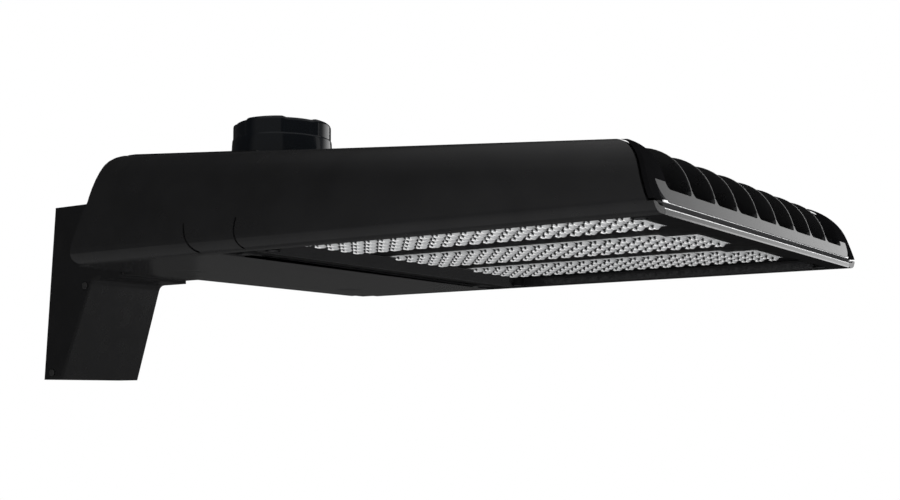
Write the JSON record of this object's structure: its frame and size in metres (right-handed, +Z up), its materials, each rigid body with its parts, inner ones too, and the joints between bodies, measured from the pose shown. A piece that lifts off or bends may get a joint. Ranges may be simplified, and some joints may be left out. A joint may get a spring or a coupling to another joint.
{
  "type": "shoebox area light",
  "caption": "Flat rectangular LED area light head with curved-nose cooling fins, lens strips, a hinged driver door, a twist-lock control cap and a short pole bracket.",
  "frame": {"origin": "centre of the wire entry on the bracket's pole face, level with the flat underside of the head", "axes": "+X from the pole out to the nose, +Y across the head, +Z up"},
  "size_m": [0.65, 0.374, 0.2085],
  "materials": {
    "black_paint": "smooth gloss black powder coat",
    "underside_paint": "smooth gloss black powder coat",
    "cover_paint": "smooth gloss black powder coat",
    "bezel_gloss": "mirror-like gloss black",
    "screw_black": "black painted screw",
    "steel": "zinc plated steel",
    "brass": "plain brass",
    "silicone": "matt black silicone",
    "lens_clear": "clear moulded optic",
    "board_white": "white solder mask",
    "driver_case": "plain sheet metal case",
    "terminal_plastic": "moulded nylon",
    "latch_metal": "black painted zinc",
    "cap_plastic": "blue-black gloss polymer"
  },
  "bodies": {
    "fixture": {"rear_housing": "black_paint", "heat_sink": "black_paint", "cooling_fins": "black_paint", "side_rail_left": "black_paint", "side_rail_right": "black_paint", "nose_bezel": "bezel_gloss", "optic_frame": "underside_paint", "optic_gasket": "silicone", "optic_screws": "steel", "lens_strip_left": "lens_clear", "lens_strip_centre": "lens_clear", "lens_strip_right": "lens_clear", "led_board_left": "board_white", "led_board_centre": "board_white", "led_board_right": "board_white", "rail_screws": "steel", "pole_bracket": "black_paint", "access_cover": "cover_paint", "cover_screws": "screw_black", "neck_gasket": "silicone", "neck_bolts": "steel", "bulkhead_bolts": "steel", "supply_grommet": "silicone", "led_driver": "driver_case", "driver_screws": "steel", "surge_protector": "cap_plastic", "terminal_block": "terminal_plastic", "latch_keepers": "steel", "hinge_pins": "steel", "receptacle_gasket": "silicone"},
    "door": {"driver_door": "underside_paint", "door_gasket": "silicone"},
    "latch_left": {"latch_left": "latch_metal"},
    "latch_right": {"latch_right": "latch_metal"},
    "receptacle": {"receptacle": "cap_plastic", "receptacle_ring": "steel"},
    "cap": {"control_cap": "cap_plastic", "cap_blades": "brass", "cap_gasket": "silicone"}
  },
  "joints": [
    {"name": "door_hinge", "type": "hinge", "parent": "fixture", "child": "door", "pos_m": [0.3386, 0, 0.0046], "axis": [0, -1, 0], "range_deg": [0, 90]},
    {"name": "latch_left_turn", "type": "hinge", "parent": "door", "child": "latch_left", "pos_m": [0.229, -0.098, 0.005], "axis": [0, 0, -1], "range_deg": [0, 90]},
    {"name": "latch_right_turn", "type": "hinge", "parent": "door", "child": "latch_right", "pos_m": [0.229, 0.098, 0.005], "axis": [0, 0, 1], "range_deg": [0, 90]},
    {"name": "receptacle_turn", "type": "hinge", "parent": "fixture", "child": "receptacle", "pos_m": [0.235, 0, 0.08], "axis": [0, 0, 1], "range_deg": [-175, 175]},
    {"name": "cap_twist", "type": "hinge", "parent": "receptacle", "child": "cap", "pos_m": [0.235, 0, 0.09], "axis": [0, 0, 1], "range_deg": [0, 25]}
  ]
}
